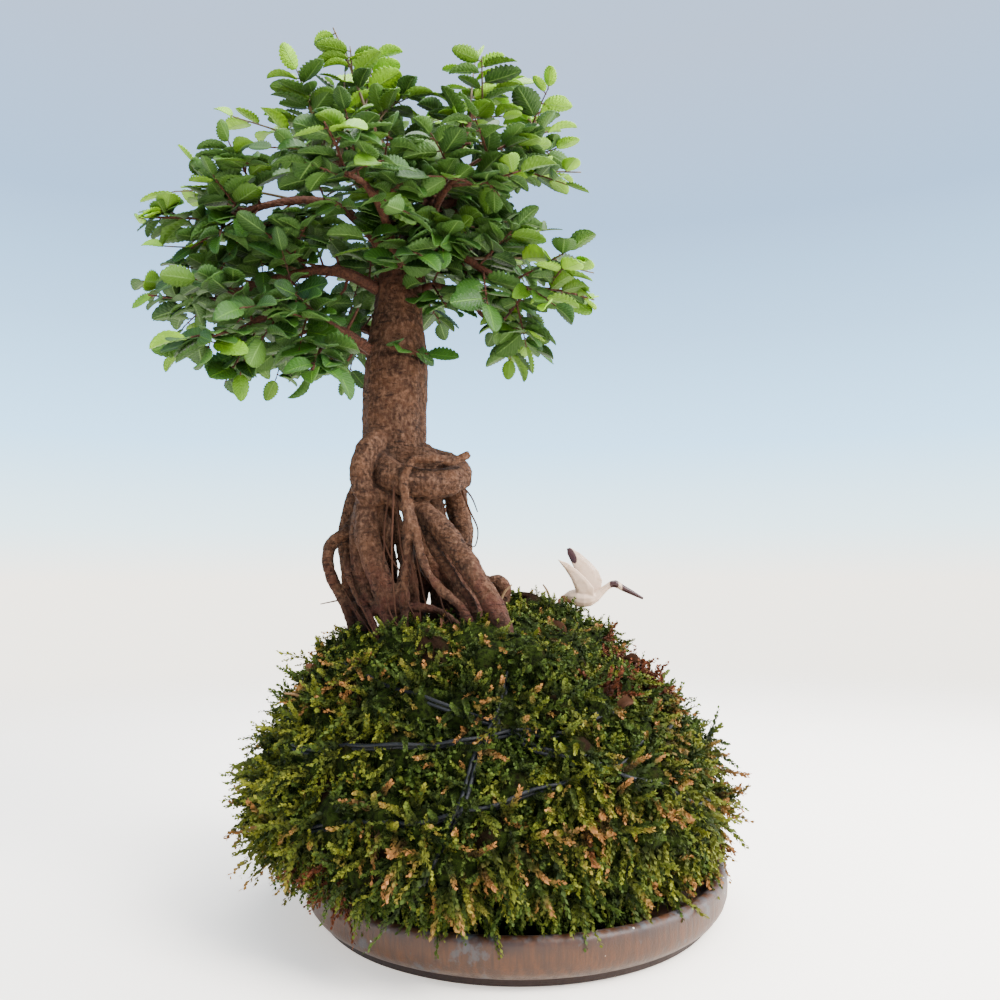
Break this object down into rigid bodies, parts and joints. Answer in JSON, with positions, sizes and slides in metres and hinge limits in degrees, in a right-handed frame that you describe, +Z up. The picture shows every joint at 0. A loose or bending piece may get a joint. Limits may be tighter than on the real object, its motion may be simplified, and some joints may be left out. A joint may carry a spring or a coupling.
{
  "type": "elm kokedama on a saucer",
  "caption": "Small elm with bare clasping roots on a moss ball tied with black cord, set in a shallow glazed saucer with a tiny crane figurine.",
  "frame": {"origin": "centre of the saucer's flat underside, on the surface it stands on", "axes": "+Z up; -Y is the front; the trunk leans to the -X side of the ball"},
  "size_m": [0.2071, 0.1635, 0.317],
  "materials": {
    "brown_glaze": "mottled brown and blue-grey glaze, satin, darker unglazed foot",
    "moss": "living feather moss, green to yellow-green with orange-brown tips",
    "soil": "dark moist potting soil",
    "black_cord": "thin black twisted cord",
    "elm_bark": "grey-brown bark with small dark lenticels, reddish roots",
    "twig_bark": "red-brown young bark",
    "elm_leaf": "soft satin green leaf, paler underneath",
    "crane_white": "glossy cream white paint",
    "crane_black": "glossy dark paint"
  },
  "bodies": {
    "root": {"crane_body": "crane_white", "crane_leg_front": "crane_black", "crane_leg_rear": "crane_black", "leaves_front_1": "elm_leaf", "leaves_front_2": "elm_leaf", "leaves_front_right_1": "elm_leaf", "leaves_front_right_2": "elm_leaf", "leaves_low_left_1": "elm_leaf", "leaves_low_left_2": "elm_leaf", "leaves_low_left_3": "elm_leaf", "leaves_low_rear_1": "elm_leaf", "leaves_low_rear_2": "elm_leaf", "leaves_low_right_1": "elm_leaf", "leaves_mid_left_1": "elm_leaf", "leaves_mid_left_2": "elm_leaf", "leaves_mid_left_3": "elm_leaf", "leaves_rear_1": "elm_leaf", "leaves_rear_2": "elm_leaf", "leaves_rear_right_1": "elm_leaf", "leaves_rear_right_2": "elm_leaf", "leaves_right_1": "elm_leaf", "leaves_right_2": "elm_leaf", "leaves_right_3": "elm_leaf", "leaves_top_front_1": "elm_leaf", "leaves_top_front_2": "elm_leaf", "leaves_top_left_1": "elm_leaf", "leaves_top_left_2": "elm_leaf", "leaves_top_rear_1": "elm_leaf", "leaves_top_rear_2": "elm_leaf", "leaves_top_right_1": "elm_leaf", "leaves_top_right_2": "elm_leaf", "leaves_upper_left_1": "elm_leaf", "leaves_upper_left_2": "elm_leaf", "leaves_upper_left_3": "elm_leaf", "leaves_upper_right_1": "elm_leaf", "leaves_upper_right_2": "elm_leaf", "limb_dead_stub": "twig_bark", "limb_front": "twig_bark", "limb_front_right": "twig_bark", "limb_low_left": "twig_bark", "limb_low_rear": "twig_bark", "limb_low_right": "twig_bark", "limb_mid_left": "twig_bark", "limb_rear": "twig_bark", "limb_rear_right": "twig_bark", "limb_right": "twig_bark", "limb_top_front": "twig_bark", "limb_top_left": "twig_bark", "limb_top_rear": "twig_bark", "limb_top_right": "twig_bark", "limb_upper_left": "twig_bark", "limb_upper_right": "twig_bark", "moss_cover": "moss", "saucer": "brown_glaze", "soil_core": "soil", "tie_cord_1": "black_cord", "tie_cord_2": "black_cord", "tie_cord_3": "black_cord", "tie_cord_4": "black_cord", "trunk_with_roots": "elm_bark"}
  },
  "joints": []
}
